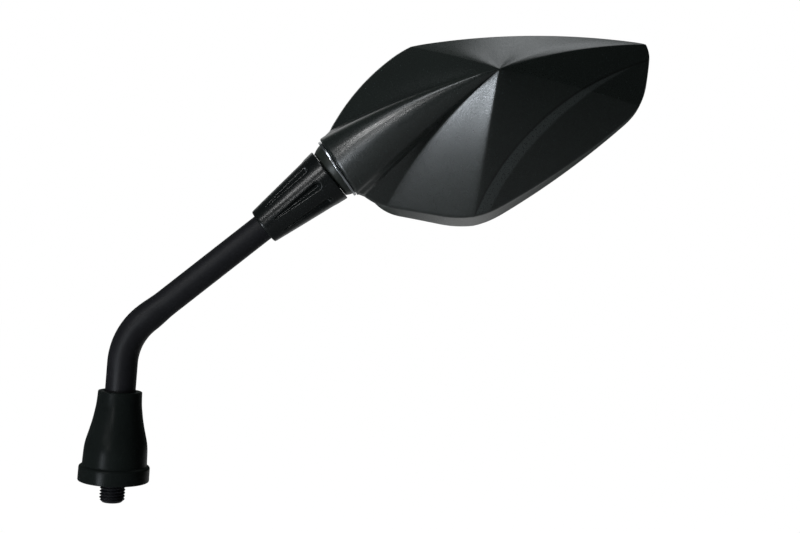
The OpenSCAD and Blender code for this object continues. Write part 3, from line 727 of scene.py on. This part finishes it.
def housing_material(colour, roughness):
    """The housing's grained black, with specks in its gloss and the long curved band painted into its tone: a
    lighter painted sheen between its edges and a black painted shadow line along the upper one.
    """
    m = finish_material("housing_grained_black", colour, roughness, grain=(2300, 0.22, 0.0001, 45), vary=0.05,
                        mask="Speckle")
    t = m.node_tree
    p = next(n for n in t.nodes if n.type == "BSDF_PRINCIPLED")
    band = node(t, "ShaderNodeGroup", (-300, 500), node_tree=painted_sheen_group())
    for label, key in (("Upper", "painted_band_upper"), ("Lower", "painted_band_lower")):
        wire(t, (node(t, "ShaderNodeAttribute", (-600, 500), attribute_name=key), "Fac", band, label))
    paint = p.inputs["Base Color"].links[0].from_node
    # Painted light: the lighter tint is a painted sheen that stands in for light on a slight change of slope, and
    # the black is a painted shadow line along the band's upper edge
    for label, tint, x in (("Painted sheen", (0.02, 0.023, 0.0225, 1), 350), ("Line", (0, 0, 0, 1), 500)):
        mix = node(t, "ShaderNodeMix", (x, 400), data_type="RGBA", blend_type="MIX")
        mix.inputs["B"].default_value = tint
        wire(t, (band, label, mix, 0), (paint, "Result", mix, "A"), (mix, "Result", p, "Base Color"))
        paint = mix
    return m


def mirror_material():
    """Silvered glass: a smooth metal-bright face with a thin clear coat."""
    m = bpy.data.materials.new("silvered_glass")
    m.use_nodes = True
    m.diffuse_color = (0.8, 0.85, 0.88, 1)
    t = m.node_tree
    p = t.nodes["Principled BSDF"]
    for key, value in (("Metallic", 1.0), ("Base Color", (0.78, 0.82, 0.84, 1)), ("Coat Weight", 0.6),
                       ("Coat Roughness", 0.01)):
        p.inputs[key].default_value = value
    coords = node(t, "ShaderNodeTexCoord", (-900, 0))
    haze = node(t, "ShaderNodeTexNoise", (-700, 0), Scale=35.0, Detail=4.0)
    rough = remap(t, (-400, 0), haze, "Fac", (0, 1), (0.01, 0.035))
    wire(t, (coords, "Object", haze, "Vector"), (rough, "Result", p, "Roughness"))
    return m


def dress_nodes(material, *names):
    """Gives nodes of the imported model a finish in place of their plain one."""
    for name in names:
        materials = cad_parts[name].data.materials
        materials.clear()
        materials.append(material)


# ---------------------------------------------------------------- properties

def colour_setting(name, what, default):
    """A colour that the panel shows."""
    return FloatVectorProperty(name=name, description="Colour of the " + what, default=default, subtype="COLOR",
                               size=3, min=0, max=1)


def gloss_setting(name, default):
    """A roughness that the panel shows."""
    return FloatProperty(name=name, description="Higher is duller", default=default, min=0.05, max=1,
                         subtype="FACTOR")


class MirrorFinish(bpy.types.PropertyGroup):
    """Colours and gloss of the mirror's visible finishes."""

    housing_colour: colour_setting("Housing colour", "grained head", (0.0045, 0.0062, 0.0056))
    housing_roughness: gloss_setting("Housing roughness", 0.3)
    stem_colour: colour_setting("Stem colour", "coated stem", (0.006, 0.006, 0.007))
    stem_roughness: gloss_setting("Stem roughness", 0.45)
    boot_colour: colour_setting("Boot colour", "rubber boot", (0.005, 0.0062, 0.0058))
    sleeve_colour: colour_setting("Sleeve colour", "fluted sleeve", (0.0035, 0.0042, 0.0042))


class MirrorStage(bpy.types.PropertyGroup):
    """Camera and light of the stage."""

    lens: FloatProperty(name="Lens", description="Focal length", default=50.0, min=20, max=200, unit="CAMERA")
    roll: FloatProperty(name="Roll", description="Turn of the camera about its view", default=math.radians(4.5),
                        subtype="ANGLE")
    light: FloatProperty(name="Light", description="Strength of all lamps", default=1.0, min=0, max=10,
                         subtype="FACTOR")


# ---------------------------------------------------------------- operators

class MIRROR_OT_housing(bpy.types.Operator):
    """Build the faceted head as one closed shell with softened creases."""

    bl_idname = "mirror.housing"
    bl_label = "Housing"

    def execute(self, context):
        look = context.scene.mirror_finish
        rows, keep, place = head_grid()
        count = rows.shape[1]
        points = rows.reshape(-1, 3) + PIVOT
        faces = grid_quads(len(rows), count, keep=keep)
        profile = [[NECK_R - 1.1, RIM_W], [MOUTH_R, RIM_W], [MOUTH_R, MOUTH_TOP],
                   [math.sqrt(SEAT_R ** 2 - MOUTH_TOP ** 2), MOUTH_TOP]]
        hole = math.asin(WEB_HOLE_R / SEAT_R)
        side = math.asin(profile[-1][0] / SEAT_R)
        profile += [[SEAT_R * math.sin(a), SEAT_R * math.cos(a)] for a in np.linspace(side, hole, 6)[1:]]
        hole = math.asin(WEB_HOLE_R / WEB_R)
        side = math.acos(INNER_FACE / WEB_R)
        profile += [[WEB_R * math.sin(a), WEB_R * math.cos(a)] for a in np.linspace(hole, side, 6)]
        profile += [[INNER_R, INNER_FACE]]
        mouth = rounded(profile, [0, 0.3] + [0] * (len(profile) - 2), 3)
        ring, ring_faces = turned(mouth, 144, at_neck)
        material = housing_material(look.housing_colour, look.housing_roughness)
        # Distances that place the painted sheen band and its painted shadow line, kept to the main facet
        upper, lower = painted_band_distances(rows)
        front_rows, facet_middle, facet_half = 75, 33, 12
        off_facet = abs(np.tile(place, len(rows)) - facet_middle) > facet_half
        upper[off_facet | np.repeat(np.arange(len(rows)) > front_rows, count)] = OFF_PAINTED_BAND
        pad = np.full(len(ring), OFF_PAINTED_BAND)
        make_piece("housing_shell", np.vstack([points, ring]),
                   np.vstack([faces, ring_faces[:, ::-1] + len(points)]), "head_body", "housing_black", material,
                   ["housing"], attributes={"painted_band_upper": np.concatenate([upper, pad]),
                                            "painted_band_lower": np.concatenate([lower, pad])})
        return {"FINISHED"}


class MIRROR_OT_glass(bpy.types.Operator):
    """Build the convex glass with its ground edge and finish the carrier, foam and screws behind it.

    Each face lies on a sphere: its depth is the centre's plus the root of radius squared less distance squared."""

    bl_idname = "mirror.glass"
    bl_label = "Glass"

    def execute(self, context):
        *_, line, normal = outline()
        centre_y = RIM_BACK - GLASS_RECESS - GLASS_RADIUS

        def layer(inset, radius, share):
            flat = GLASS_MIDDLE + (line - normal * inset - GLASS_MIDDLE) * share
            off = np.sum((flat - GLASS_MIDDLE) ** 2, 1)
            return np.column_stack([flat[:, 0], centre_y + np.sqrt(radius ** 2 - off), flat[:, 1]])

        inset, bevel, face, back = GLASS_MARGIN + 0.05, 0.35, GLASS_RADIUS, GLASS_RADIUS - GLASS_T
        soft = bevel * 0.3
        rows = [layer(inset + bevel, face, s) for s in np.linspace(0.001, 1, 30)]
        rows += [layer(inset + soft, face - soft, 1), layer(inset, face - bevel, 1), layer(inset, back + bevel, 1),
                 layer(inset + soft, back + soft, 1)]
        rows = np.stack(rows + [layer(inset + bevel, back, s) for s in np.linspace(1, 0.001, 8)])
        points = rows.reshape(-1, 3) + PIVOT
        faces = grid_quads(len(rows), rows.shape[1])
        make_piece("glass_convex", points, faces, "head_body", "mirror_glass", mirror_material(), ["mirror_glass"])
        zinc = finish_material("screw_zinc", (0.55, 0.55, 0.56), 0.3, 1.0, (4000, 0.08, 0.00005, 200))
        dress_nodes(zinc, *(f"carrier_screw_{i}" for i in range(1, 5)))
        dress_nodes(finish_material("carrier_black", (0.02, 0.02, 0.021), 0.5), "carrier_plate")
        foam = finish_material("foam_grey", (0.04, 0.04, 0.042), 0.9, grain=(1500, 0.8, 0.0004, 80))
        dress_nodes(foam, "foam_pad")
        return {"FINISHED"}


def stem_path():
    """Centre line of the stem from the stud's top round the bend to the ball, a row each: x, z, turn, radius."""
    bend_start = BEND_HEIGHT - BEND_LEG
    z = np.linspace(STUD_TOP + 1, bend_start, 16)
    upright = np.column_stack([0 * z, z, 0 * z, STEM_R + 0 * z])
    a = np.linspace(0, BEND_ANGLE, 40)[1:]
    bend = np.column_stack([BEND_R - BEND_R * np.cos(a), bend_start + BEND_R * np.sin(a), a, STEM_R + 0 * a])
    taper, top = BEND_LEG - REACH, -16
    q = np.concatenate([np.linspace(taper, taper + 10, 14)[1:], np.linspace(taper + 10, top, 24)[1:]])
    r = STEM_R + (STEM_TOP_R - STEM_R) * ease((q - taper - 1) / 9)
    slope = np.column_stack([PIVOT[0] + q * math.cos(STEM_RISE), PIVOT[2] + q * math.sin(STEM_RISE),
                             BEND_ANGLE + 0 * q, r])
    return np.vstack([upright, bend, slope])


class MIRROR_OT_stem(bpy.types.Operator):
    """Build the bent stem, with the cut thread on its stud."""

    bl_idname = "mirror.stem"
    bl_label = "Stem"

    def execute(self, context):
        look = context.scene.mirror_finish
        steps = 96
        a = full_turn(steps)

        # Thread: the radius follows a V over the height less one pitch a turn, cut by the stud's chamfers
        z = np.linspace(-STUD_LENGTH, STUD_TOP, 210)
        phase = (z[:, None] / PITCH - a[None, :] / TAU) % 1
        v = np.abs(phase - 0.5) * 2
        thread = STUD_R - 0.02 - THREAD_DEPTH * (1 - np.clip((v - 0.1) / 0.78, 0, 1))
        chamfer = STUD_R - 1.15 + (z[:, None] + STUD_LENGTH) * 1.05
        root = STUD_R - THREAD_DEPTH - 0.05 + ease((z[:, None] - STUD_TOP + 1.6) / 1.4) * (THREAD_DEPTH + 0.05)
        stud = circle_rows(np.minimum(np.maximum(thread, root), chamfer), z, a)
        end = circle_rows(np.array([0.001, 2.6, 3.6]), np.full(3, -STUD_LENGTH), a)
        x, height, turn, r = stem_path().T
        out = np.column_stack([np.cos(turn), 0 * turn, -np.sin(turn)])[:, None]
        middle = np.column_stack([x, 0 * x, height])[:, None]
        tube = middle + r[:, None, None] * (np.cos(a)[:, None] * out + np.sin(a)[:, None] * np.array([0, 1, 0]))
        spigot = circle_rows(np.array([5.2, 4, 4, 0.001]), np.array([-16, -16, 1, 1]), a)
        top = along_stem(spigot.reshape(-1, 3)).reshape(-1, steps, 3)
        rows = np.concatenate([end, stud, tube, top])
        material = finish_material("stem_satin_black", look.stem_colour, look.stem_roughness,
                                   grain=(3200, 0.22, 0.00009, 70), vary=0.05, specular=0.09)
        faces = grid_quads(len(rows), steps)
        make_piece("stem_bar", rows.reshape(-1, 3), faces, "stem_body", "stem_black", material, ["stem"])
        return {"FINISHED"}


class MIRROR_OT_boot(bpy.types.Operator):
    """Build the rubber boot, a turned shell that is open below."""

    bl_idname = "mirror.boot"
    bl_label = "Boot"

    def execute(self, context):
        look = context.scene.mirror_finish
        outer = [[12.5, 0.0], [14.0, 0.0], [13.95, 5.6], [13.2, 6.15], [12.75, 6.3], [12.68, 7.6], [12.5, 12.6],
                 [12.2, 15.1], [11.6, 17.6], [10.7, 20.9], [9.85, 24.6], [9.35, 27.6], [8.95, 30.2], [8.75, 33.1],
                 [8.68, 35.0], [8.65, 35.98]]
        inner = [[6.5, 35.98], [6.06, 35.4], [6.06, 28.8], [7.3, 25.2], [9.2, 20.9], [10.65, 15.1], [11.1, 7.1],
                 [12.5, 5.5], [12.5, 0.0]]
        radii = [0, 0.35, 0.5, 0.2, 0.3, 0.5, 2, 1.5, 1.5, 2, 2, 1.5, 1.5, 1, 0.4, 0.9]
        profile = rounded(outer + inner, radii + [0.4, 0.3, 0.5, 1, 1, 1, 0.5, 0.3, 0], 5)
        material = finish_material("boot_rubber", look.boot_colour, 0.3, grain=(1800, 0.12, 0.0001, 90), vary=0.05,
                                   specular=0.03)
        turned_piece("boot_rubber", profile, "boot_body", "boot_rubber", material, ["base_boot"], 112)
        return {"FINISHED"}


def sleeve_surface(height, angle):
    """Radius of the sleeve: a cone less eight round-ended grooves that widen towards the ball.

    Each groove is a channel whose half width grows along its length, and circles close both of its ends."""
    cone = SLEEVE_LOW_R + (SLEEVE_R - SLEEVE_LOW_R) * height / SLEEVE_LENGTH
    pitch = TAU / FLUTES
    across = ((angle + FLUTE_TURN + pitch / 2) % pitch - pitch / 2) * cone
    t = np.clip((height - FLUTE_FROM) / (FLUTE_TO - FLUTE_FROM), 0, 1)
    half = FLUTE_HALF[0] + FLUTE_HALF[1] * t ** 0.8
    beyond = np.maximum(FLUTE_FROM - height, 0) + np.maximum(height - FLUTE_TO, 0)
    groove = np.clip(1 - np.hypot(across, beyond) / half, 0, 1)
    return cone - (FLUTE_DEPTH[0] + FLUTE_DEPTH[1] * t) * ease(groove * 1.15)


class MIRROR_OT_sleeve(bpy.types.Operator):
    """Build the fluted sleeve with its rounded ends."""

    bl_idname = "mirror.sleeve"
    bl_label = "Sleeve"

    def execute(self, context):
        look = context.scene.mirror_finish
        base = -6.3 - SLEEVE_LENGTH
        steps = FLUTES * 56
        a = full_turn(steps)
        z = np.concatenate([np.linspace(0.9, 5.6, 10), np.linspace(5.8, 24.5, 60), np.linspace(24.7, 30.6, 40),
                            np.linspace(30.8, SLEEVE_LENGTH - 1, 6)])
        radius = sleeve_surface(z[:, None], a[None, :])
        body = circle_rows(radius, z + base, a)
        low = rounded([[STEM_BORE, 3], [STEM_BORE, 0], [7.42, 0], [7.6, 0.9]], [0, 0.25, 0.75, 0], 5)[:-1]
        n = SLEEVE_LENGTH
        edge = SLEEVE_LOW_R + (SLEEVE_R - SLEEVE_LOW_R) * (n - 1) / n
        high = rounded([[edge, n - 1], [SLEEVE_R - 0.02, n], [9.8, n], [9.8, n - 1.8], [7.62, n - 1.8],
                        [7.62, n - 6.8], [STEM_BORE, n - 9.8], [STEM_BORE, 3]],
                       [0, 0.85, 0.5, 0.3, 0.3, 0.2, 0.2, 0], 5)
        ends = [circle_rows(profile[:, 0], profile[:, 1] + base, a) for profile in (low, high)]
        rows = np.concatenate([ends[0], body, ends[1]])
        points = along_stem(rows.reshape(-1, 3))
        material = finish_material("sleeve_satin_black", look.sleeve_colour, 0.24, grain=(3000, 0.1, 0.00008, 80),
                                   vary=0.03, specular=0.15)
        make_piece("sleeve_fluted", points, grid_quads(len(rows), steps), "sleeve_body", "sleeve_black", material,
                   ["sleeve"])
        return {"FINISHED"}


class MIRROR_OT_joint(bpy.types.Operator):
    """Build the ball and the wiper ring, and finish the hidden hardware of the joint and the base."""

    bl_idname = "mirror.joint"
    bl_label = "Ball joint"

    def execute(self, context):
        arc, dome = ([[r * math.sin(t), r * math.cos(t)] for t in np.radians(np.linspace(start, stop, 14))]
                     for r, start, stop in ((BALL_R, 119.5, 85.5), (DOME_R, 83, 39.2)))
        profile = [[4.02, -6.0], [8.7, -6.0], [8.9, -6.24], [10.15, -6.24], *arc, [11.9, 1.0], [DOME_R, 1.0],
                   *dome, [2.52, 6.98], [2.52, 2.0], [4.02, 1.2], [4.02, -6.0]]
        profile = rounded(profile, [0, 0, 0, 0.12] + [0] * 14 + [0.1, 0.1] + [0] * 14 + [0.2, 0, 0, 0], 3)
        dark = finish_material("ball_dark_metal", (0.011, 0.013, 0.011), 0.38, 0.1, (3500, 0.05, 0.00005, 120),
                               specular=0.18)
        turned_piece("ball_turned", profile, "stem_body", "ball_metal", dark, ["ball"], 120, along_stem)
        low, high, outer = -2.9, -1.92, 12.8
        inside = [[math.sqrt(WIPER_R ** 2 - h ** 2), h] for h in (low, high)]
        ring = rounded([inside[0], [outer, low], [outer, high], inside[1], inside[0]], [0, 0.25, 0.25, 0.1, 0], 4)
        steel = finish_material("wiper_steel", (0.30, 0.31, 0.33), 0.22, 1.0, (5000, 0.04, 0.00004, 150))
        turned_piece("wiper_bright", ring, "wiper_body", "spring_steel", steel, ["wiper_ring"], 120, at_neck)
        zinc = finish_material("zinc_steel", (0.5, 0.5, 0.51), 0.32, 1.0, (4000, 0.08, 0.00005, 160))
        spring = finish_material("spring_steel", (0.3, 0.3, 0.31), 0.35, 1.0, (4000, 0.08, 0.00005, 160))
        nylon = finish_material("liner_nylon", (0.72, 0.7, 0.66), 0.4, grain=(2500, 0.05, 0.00005, 80))
        coated = finish_material("hex_satin_black", (0.008, 0.008, 0.009), 0.45, grain=(3200, 0.2, 0.00009, 70))
        dress_nodes(zinc, "lock_washer", "lock_nut", "jam_nut", "pivot_bolt")
        dress_nodes(spring, "pressure_cup", "disc_spring_1", "disc_spring_2")
        dress_nodes(nylon, "seat_liner")
        dress_nodes(coated, "stem_hex")
        return {"FINISHED"}


def blend(tree, at, share, first, second, target):
    """Mixes two nodes' shaders by a third node's share, and links the result to the target's surface."""
    mix = node(tree, "ShaderNodeMixShader", at)
    wire(tree, (share, 0, mix, 0), (first, 0, mix, 1), (second, 0, mix, 2), (mix, 0, target, "Surface"))


# Point that the lamps are turned to, in metres, and their colours
LAMP_AIM = (0.11, 0, 0.13)
NEUTRAL, COOL = (1, 1, 1), (0.93, 0.97, 1.0)
# Lamps: name, place in metres, width and height, power in watts, colour
LAMPS = (
    ("lamp_low_left", (-0.36, -0.61, -0.15), (0.18, 0.18), 4.0, (0.86, 0.93, 1.0)),
    ("lamp_behind_top", (0.23, 0.446, 0.721), (0.25, 0.25), 0.24, COOL),
    ("lamp_behind_low", (0.29, 0.50, -0.23), (0.46, 0.4), 0.31, NEUTRAL),
    ("lamp_upper_left", (-0.245, -0.41, 0.65), (0.26, 0.26), 1.7, COOL),
    ("lamp_front", (-0.35, -0.55, 0.35), (0.1, 0.1), 1.6, NEUTRAL),
    ("lamp_front_middle", (-0.19, -0.742, 0.15), (0.07, 0.07), 0.8, NEUTRAL),
    ("lamp_behind_left", (-0.194, 0.588, 0.482), (0.3, 0.3), 0.23, NEUTRAL),
)


def area_light(name, at, size, power, colour):
    """A soft rectangular lamp at a place in metres, turned towards the head."""
    lamp = bpy.data.lights.new(name, "AREA")
    lamp.shape = "RECTANGLE"
    lamp.size, lamp.size_y = size
    lamp.energy = power
    lamp.color = colour
    o = bpy.data.objects.new(name, lamp)
    bpy.context.scene.collection.objects.link(o)
    o.visible_camera = False
    z = unit(np.array(at) - LAMP_AIM)
    x = unit(np.cross([0, 0, 1.0], z))
    y = np.cross(z, x)
    o.matrix_world = Matrix([[*r, t] for r, t in zip(np.column_stack([x, y, z]), at)] + [[0, 0, 0, 1]])


# Camera's place in metres
CAMERA_AT = (0.1080, -0.446, 0.0945)
# Half side and height of the floor in metres, and the share of its own white that the camera sees
FLOOR_HALF, FLOOR_Z, FLOOR_WHITE = 4.0, -0.26, 0.94


class MIRROR_OT_stage(bpy.types.Operator):
    """Set the camera, the pale floor, the white surround and the lamps."""

    bl_idname = "mirror.stage"
    bl_label = "Stage"

    def execute(self, context):
        scene = context.scene
        stage = scene.mirror_stage
        cam = bpy.data.cameras.new("camera")
        cam.lens, cam.sensor_width = stage.lens, 36.0
        cam.clip_start, cam.clip_end = 0.01, 50
        o = bpy.data.objects.new("camera", cam)
        scene.collection.objects.link(o)
        c, s = math.cos(stage.roll), math.sin(stage.roll)
        x, y, z = CAMERA_AT
        o.matrix_world = Matrix([[c, -s, 0, x], [0, 0, -1, y], [s, c, 0, z], [0, 0, 0, 1]])
        scene.camera = o

        world = bpy.data.worlds.new("surround")
        scene.world = world
        world.use_nodes = True
        t = world.node_tree
        t.nodes.clear()
        out = node(t, "ShaderNodeOutputWorld", (800, 0))
        coords = node(t, "ShaderNodeTexCoord", (-800, 0))
        split = node(t, "ShaderNodeSeparateXYZ", (-600, 0))
        room = node(t, "ShaderNodeBackground", (0, 0), Color=(0.86, 1.0, 0.95, 1))
        white = node(t, "ShaderNodeBackground", (0, -200), Color=(1, 1, 1, 1))
        path = node(t, "ShaderNodeLightPath", (-400, 400))
        seen = node(t, "ShaderNodeMath", (0, 300), operation="MAXIMUM")
        behind = remap(t, (-400, 0), split, "Y", (-0.15, 0.75), (0.056, 0.1), smooth=True)
        wire(t, (coords, "Generated", split, 0), (behind, "Result", room, "Strength"),
             (path, "Is Camera Ray", seen, 0), (path, "Is Transmission Ray", seen, 1))
        blend(t, (400, 0), seen, room, white, out)

        mesh = bpy.data.meshes.new("floor")
        corners = [(FLOOR_HALF * x, FLOOR_HALF * y, FLOOR_Z) for x, y in ((-1, -1), (1, -1), (1, 1), (-1, 1))]
        mesh.from_pydata(corners, [], [(0, 1, 2, 3)])
        floor = bpy.data.objects.new("floor", mesh)
        scene.collection.objects.link(floor)
        pale = bpy.data.materials.new("floor_pale")
        pale.use_nodes = True
        t = pale.node_tree
        p = t.nodes["Principled BSDF"]
        p.inputs["Base Color"].default_value = (0.86, 0.86, 0.86, 1)
        p.inputs["Roughness"].default_value = 0.9
        lit = node(t, "ShaderNodeEmission", (0, -300), Color=(1, 1, 1, 1), Strength=1.06)
        path = node(t, "ShaderNodeLightPath", (-400, 300))
        share = node(t, "ShaderNodeMath", (-100, 300), operation="MULTIPLY")
        share.inputs[1].default_value = FLOOR_WHITE
        wire(t, (path, "Is Camera Ray", share, 0))
        blend(t, (300, 0), share, p, lit, t.nodes["Material Output"])
        mesh.materials.append(pale)

        for name, at, size, power, colour in LAMPS:
            area_light(name, at, size, power * stage.light, colour)
        scene.view_settings.view_transform = "Standard"
        return {"FINISHED"}


class MIRROR_PT_panel(bpy.types.Panel):
    """Lists the mirror's pieces and its stage in the sidebar."""

    bl_idname = "MIRROR_PT_panel"
    bl_label = "Motorcycle mirror"
    bl_space_type = "VIEW_3D"
    bl_region_type = "UI"
    bl_category = "Mirror"

    def draw(self, context):
        for settings in (context.scene.mirror_finish, context.scene.mirror_stage):
            box = self.layout.box()
            for key in settings.bl_rna.properties.keys():
                if key not in ("rna_type", "name"):
                    box.prop(settings, key)
        for step in STEPS:
            self.layout.operator(step.bl_idname)


STEPS = (MIRROR_OT_housing, MIRROR_OT_glass, MIRROR_OT_stem, MIRROR_OT_boot, MIRROR_OT_sleeve, MIRROR_OT_joint,
         MIRROR_OT_stage)
CLASSES = (MirrorFinish, MirrorStage) + STEPS + (MIRROR_PT_panel,)


def register():
    """Registers the classes and hangs the settings on the scene."""
    for c in CLASSES:
        bpy.utils.register_class(c)
    bpy.types.Scene.mirror_finish = PointerProperty(type=MirrorFinish)
    bpy.types.Scene.mirror_stage = PointerProperty(type=MirrorStage)


def unregister():
    """Takes the settings and the classes away again."""
    del bpy.types.Scene.mirror_finish
    del bpy.types.Scene.mirror_stage
    for c in reversed(CLASSES):
        bpy.utils.unregister_class(c)


def main():
    """Runs every operator in order."""
    register()
    for step in STEPS:
        getattr(bpy.ops.mirror, step.bl_idname.split(".")[1])()


if __name__ == "__main__":
    main()
